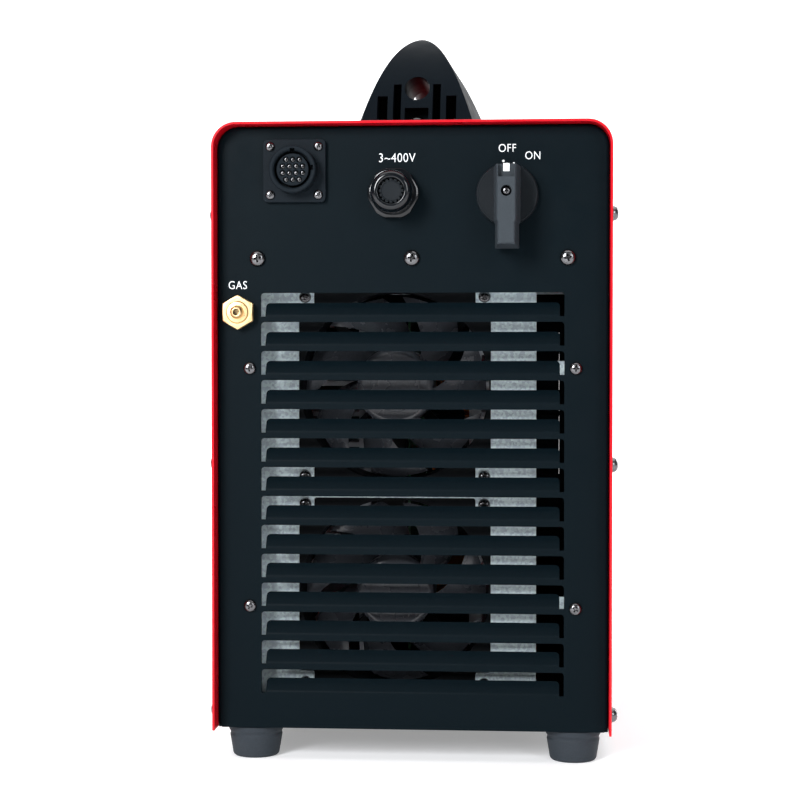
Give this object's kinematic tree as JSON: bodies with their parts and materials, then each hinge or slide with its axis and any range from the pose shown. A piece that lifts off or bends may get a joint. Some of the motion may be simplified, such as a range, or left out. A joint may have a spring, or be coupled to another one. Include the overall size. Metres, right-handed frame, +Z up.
{
  "type": "plasma cutter unit",
  "caption": "Inverter plasma cutting power source: red folded cover, louvred black rear panel, two axial fans, isolator knob, gas inlet, remote socket, top handle and rubber feet.",
  "frame": {"origin": "middle of the bounding box in plan, on the surface the feet stand on", "axes": "+Z up, +Y from the rear panel towards the control panel, +X to the right of someone looking at the rear panel"},
  "size_m": [0.2524, 0.52, 0.458],
  "materials": {
    "cover_red": "gloss powder coat",
    "panel_black": "satin powder coat",
    "galvanised_steel": "galvanised, fine spangle",
    "handle_plastic": "fine moulded grain",
    "foot_rubber": "matt moulded rubber",
    "fan_casting": "black stoved enamel on a casting",
    "fan_rotor": "satin",
    "socket_plastic": "satin moulding",
    "gland_plastic": "gloss nylon",
    "grey_plastic": "fine moulded grain",
    "brass": "turned",
    "bright_steel": "bright nickel plate",
    "sink_aluminium": "extruded",
    "board_laminate": "solder resist",
    "capacitor_sleeve": "shrink sleeve",
    "core_iron": "ground ferrite",
    "copper_winding": "enamelled copper",
    "hose_rubber": "smooth hose",
    "window_acrylic": "smoked acrylic"
  },
  "bodies": {
    "case": {"cover": "cover_red", "base_pan": "panel_black", "rear_panel": "panel_black", "front_panel": "panel_black", "fan_plate": "galvanised_steel", "mid_shelf": "galvanised_steel", "handle_rear_bracket": "handle_plastic", "handle_front_bracket": "handle_plastic", "handle_grip": "handle_plastic", "foot_1": "foot_rubber", "foot_2": "foot_rubber", "foot_3": "foot_rubber", "foot_4": "foot_rubber", "fan_upper_frame": "fan_casting", "fan_upper_motor": "fan_casting", "fan_lower_frame": "fan_casting", "fan_lower_motor": "fan_casting", "remote_socket_shell": "socket_plastic", "remote_socket_insert": "socket_plastic", "gland_locknut": "socket_plastic", "switch_body": "socket_plastic", "gas_valve_coil": "socket_plastic", "igbt_module": "socket_plastic", "rectifier_module": "socket_plastic", "torch_socket_housing": "socket_plastic", "earth_socket_housing": "socket_plastic", "gas_test_switch_body": "socket_plastic", "mode_switch_body": "socket_plastic", "gland_body": "gland_plastic", "gland_dome_nut": "gland_plastic", "gland_blanking_plug": "grey_plastic", "gas_inlet_fitting": "brass", "gas_valve_body": "brass", "torch_socket_pin": "brass", "earth_socket_insert": "brass", "current_potentiometer": "bright_steel", "rear_panel_screw_1": "bright_steel", "rear_panel_screw_2": "bright_steel", "rear_panel_screw_3": "bright_steel", "cover_screw_left": "bright_steel", "cover_screw_right": "bright_steel", "heatsink_left": "sink_aluminium", "heatsink_right": "sink_aluminium", "power_board": "board_laminate", "control_board": "board_laminate", "bus_capacitor_1": "capacitor_sleeve", "bus_capacitor_2": "capacitor_sleeve", "transformer_core": "core_iron", "transformer_coil": "copper_winding", "output_choke": "copper_winding", "gas_inlet_hose": "hose_rubber", "gas_torch_hose": "hose_rubber", "display_window": "window_acrylic"},
    "switch": {"switch_knob": "grey_plastic", "switch_shaft": "bright_steel"},
    "fan_upper_rotor": {"fan_upper_impeller": "fan_rotor"},
    "fan_lower_rotor": {"fan_lower_impeller": "fan_rotor"},
    "current_dial": {"current_knob": "socket_plastic"},
    "gas_test_button": {"gas_test_rocker": "cover_red"},
    "mode_button": {"mode_rocker": "cover_red"}
  },
  "joints": [
    {"name": "power_switch_turn", "type": "hinge", "parent": "case", "child": "switch", "pos_m": [0.0582, -0.24, 0.3476], "axis": [0, 1, 0], "range_deg": [0, 45]},
    {"name": "fan_upper_spin", "type": "hinge", "parent": "case", "child": "fan_upper_rotor", "pos_m": [-0.0123, -0.19, 0.2304], "axis": [0, 1, 0], "continuous": true},
    {"name": "fan_lower_spin", "type": "hinge", "parent": "case", "child": "fan_lower_rotor", "pos_m": [-0.0123, -0.19, 0.1011], "axis": [0, 1, 0], "continuous": true},
    {"name": "current_knob_turn", "type": "hinge", "parent": "case", "child": "current_dial", "pos_m": [0.028, 0.236, 0.352], "axis": [0, 1, 0], "range_deg": [-135, 135]},
    {"name": "gas_test_rocker_tilt", "type": "hinge", "parent": "case", "child": "gas_test_button", "pos_m": [0.072, 0.226, 0.352], "axis": [1, 0, 0], "range_deg": [-16, 0]},
    {"name": "mode_rocker_tilt", "type": "hinge", "parent": "case", "child": "mode_button", "pos_m": [0.098, 0.226, 0.352], "axis": [1, 0, 0], "range_deg": [-16, 0]}
  ]
}
